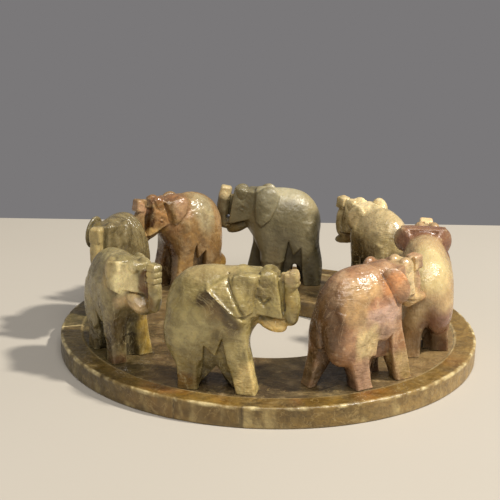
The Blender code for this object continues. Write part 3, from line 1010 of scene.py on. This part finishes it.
def build_base():
    profile = ring_profile()
    turns = 660
    angle = np.arange(turns) * 2 * math.pi / turns
    radius, height = profile[:, 0], profile[:, 1]
    around = np.stack(np.broadcast_arrays(np.cos(angle)[:, None], np.sin(angle)[:, None]), axis=-1)
    flat = around * radius[None, :, None]
    points = np.concatenate([flat, np.broadcast_to(height[None, :, None], (turns, len(profile), 1))], axis=2)
    points = points.reshape(-1, 3)
    rows = np.arange(turns)[:, None] * len(profile)
    after = (np.arange(turns)[:, None] + 1) % turns * len(profile)
    here = np.arange(len(profile))[None, :]
    following = (here + 1) % len(profile)
    quads = np.stack([rows + here, rows + following, after + following, after + here], axis=-1).reshape(-1, 4)
    out = np.hypot(points[:, 0], points[:, 1])
    arris = np.hypot(out - BASE_RADIUS, points[:, 2] - BASE_THICKNESS)
    mm = points * MILLIMETRES
    chipped = np.clip(noise(mm, 2.2, 5) - 0.25, 0, 1) * np.clip(1 - arris / CHIP_REACH, 0, 1)
    inward = CHIP_DEPTH * chipped
    wavy = noise(mm, 14, 8) * WAVER * np.clip((out - 0.07) / 0.004, 0, 1)
    shrink = 1 - (inward + np.abs(wavy)) / np.maximum(out, 1e-6)
    points[:, :2] *= shrink[:, None]
    points[:, 2] -= inward * 0.7 * (points[:, 2] > BASE_THICKNESS / 2)
    mesh = mesh_of("stone_ring", points, quads, base_colours(points * MILLIMETRES))
    dark, light, scratch = linear(74, 60, 30), linear(170, 146, 96), (600.0, 600.0, 900.0)
    mesh.materials.append(soapstone("base_soapstone", dark, light, 0.36, scratch, glow=0.06, bump=0.6))
    obj = bpy.data.objects.new("stone_ring", mesh)
    bpy.context.scene.collection.objects.link(obj)
    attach(obj, "root")
    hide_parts("base_ring")


def base_colours(mm):
    """The slab's colours: a golden rim crossed by lines, a grey-brown floor, and painted light and shade."""
    outer, recess = BASE_RADIUS * MILLIMETRES, (BASE_RADIUS - RIM_WIDTH) * MILLIMETRES
    out = np.hypot(mm[:, 0], mm[:, 1])
    rim = out > recess - 0.3
    upper = mm[:, 2] > 5
    warp = clouds(mm, 9, 3)
    colour = np.tile(linear(104, 78, 26), (len(mm), 1))

    def lay(shade, share):
        share = np.clip(share, 0, 1)[:, None]
        colour[:] = colour * (1 - share) + np.array(linear(*shade)) * share

    wall = np.clip((out - outer + 1.0) / 0.6, 0, 1)
    floor = ~rim * upper
    # Painted light: this mask lightens the right side, where the lamp falls, and strengthens the step's
    # highlight there.
    right = np.clip((mm[:, 0] + warp * 12 - 25) / 35, 0, 1)
    left = np.clip((-mm[:, 0] + warp * 12 - 40) / 25, 0, 1)
    front = np.clip((-mm[:, 1] + warp * 10 - 30) / 30, 0, 1)
    lay((132, 104, 48), clouds(mm, 10, 90) * 1.6)
    lay((70, 52, 18), clouds(mm, 6, 95) * 1.8 - 0.1)
    lay((124, 78, 22), (clouds(mm, 16, 97) * 1.8 - 0.2) * (out > recess - 0.5))
    lay((112, 90, 48), wall * 0.6)
    lay((184, 164, 112), wall * (clouds(mm * (1, 1, 0.4), 4, 92) * 2 - 0.35))
    lay((104, 84, 54), floor * 0.9)
    # Painted shadow: the front of the floor is darkened where the elephants cast shadow.
    lay((58, 44, 24), floor * front * 0.75)
    lay((60, 48, 26), floor * (warp * 1.3 + 0.2))
    lay((146, 124, 90), floor * (clouds(mm, 3, 99) * 1.6 - 0.3))
    # Painted light on the right of the floor
    lay((132, 108, 78), floor * right * 0.75)
    lay((70, 56, 30), floor * left * 0.9)
    # Painted light on the rim and its wall at the right
    lay((150, 122, 74), right * (0.35 + 0.45 * wall))
    lay((80, 70, 38), left * 0.7)
    # Painted highlight: a thin pale line along the recess's step, strongest on the right where it catches the
    # light.
    step_glint = np.clip(1.6 - np.abs(out - recess - 0.05) / 0.3, 0, 1)
    lay((214, 192, 144), step_glint * upper * (0.5 + 0.9 * right) * (0.8 + clouds(mm, 5, 33)))
    # Painted highlight: pale flecks along the ring's upper outer edge.
    arris_glint = (np.abs(out - outer + 0.4) < 0.45) * (mm[:, 2] > 6)
    lay((216, 198, 148), arris_glint * (clouds(mm, 3, 35) * 1.8 + 0.2))
    bearing = np.degrees(np.arctan2(mm[:, 1], mm[:, 0])) % 360
    lay((78, 70, 36), rim * np.clip((bearing - 170) / 4, 0, 1) * np.clip((184 - bearing) / 0.4, 0, 1) * 0.7)
    # The two dark lines are joints; the pale line at 184 degrees is a painted highlight on a joint's lip.
    lines = (
        (264.8, (64, 46, 16), 0.35, -0.48),
        (247.9, (70, 52, 22), 0.3, -0.48),
        (184, (206, 186, 136), 0.3, 0.2),
    )
    for at, shade, wide, slant in lines:
        aside = np.abs(bearing - at - slant * (out - 71) + warp * 0.6)
        lay(shade, rim * np.clip(1.6 - aside / wide, 0, 1) * 0.9)
    return colour


# The stage


def build_floor():
    """A plain pale table top that ends a little way behind the ring."""
    back, side, front = 0.175, 1.6, 1.8
    mesh = bpy.data.meshes.new("table")
    corners = [(-side, -front, 0), (side, -front, 0), (side, back, 0), (-side, back, 0)]
    mesh.from_pydata(corners, [], [(0, 1, 2, 3)])
    obj = bpy.data.objects.new("table", mesh)
    bpy.context.scene.collection.objects.link(obj)
    n = Nodes("table")
    place = n.node("ShaderNodeTexCoord").outputs["Object"]
    tone = n.noise(place, 8, 2, 0.5)
    n.feed(n.shader, "Base Color", n.mix(tone, (*linear(182, 175, 163), 1), (*linear(188, 181, 169), 1)))
    n.shader.inputs["Roughness"].default_value = 0.7
    mesh.materials.append(n.material)


def build_camera():
    """The camera, looking as the one that took the photograph did."""
    place = (-0.01051, -0.39227, 0.14839)
    pitch, yaw, roll = math.radians(16.083), math.radians(-0.499), math.radians(1.004)
    sensor_width, lens_in_pixels, picture_width = 36, 1135.1, 500
    ahead = Vector((-math.sin(yaw), math.cos(yaw), 0))
    right = Vector((math.cos(yaw), math.sin(yaw), 0))
    up = Vector((0, 0, 1))
    look = ahead * math.cos(pitch) - up * math.sin(pitch)
    over = ahead * math.sin(pitch) + up * math.cos(pitch)
    x_axis = right * math.cos(roll) + over * math.sin(roll)
    y_axis = over * math.cos(roll) - right * math.sin(roll)
    data = bpy.data.cameras.new("camera")
    data.sensor_width = sensor_width
    data.lens = sensor_width * lens_in_pixels / picture_width
    data.clip_start = 0.01
    camera = bpy.data.objects.new("camera", data)
    bpy.context.scene.collection.objects.link(camera)
    turn = Matrix((x_axis, y_axis, -look)).transposed().to_4x4()
    camera.matrix_world = Matrix.Translation(place) @ turn
    bpy.context.scene.camera = camera


def area_light(name, place, aim, size, power, colour):
    data = bpy.data.lights.new(name, "AREA")
    data.shape = "DISK"
    data.size = size
    data.energy = power
    data.color = colour
    lamp = bpy.data.objects.new(name, data)
    bpy.context.scene.collection.objects.link(lamp)
    lamp.location = place
    lamp.rotation_euler = (Vector(aim) - Vector(place)).to_track_quat("-Z", "Y").to_euler()


def build_lights():
    """A small warm lamp high on the right, a wide soft one over the camera, and a grey room."""
    aim = (0, 0, 0.02)
    area_light("key", (0.931, -0.285, 1.18), aim, size=0.12, power=26, colour=(1.0, 0.95, 0.86))
    area_light("soft", (0.1, -1.0, 1.5), aim, size=1.3, power=19, colour=(1.0, 0.985, 0.96))
    world = bpy.data.worlds.new("room")
    bpy.context.scene.world = world
    world.use_nodes = True
    background = world.node_tree.nodes["Background"]
    background.inputs[0].default_value = (*linear(122, 120, 121), 1)
    background.inputs[1].default_value = 1.0
    bpy.context.scene.view_settings.view_transform = "Standard"


for animal in HERD:
    build_elephant(animal)
build_base()
build_floor()
build_camera()
build_lights()
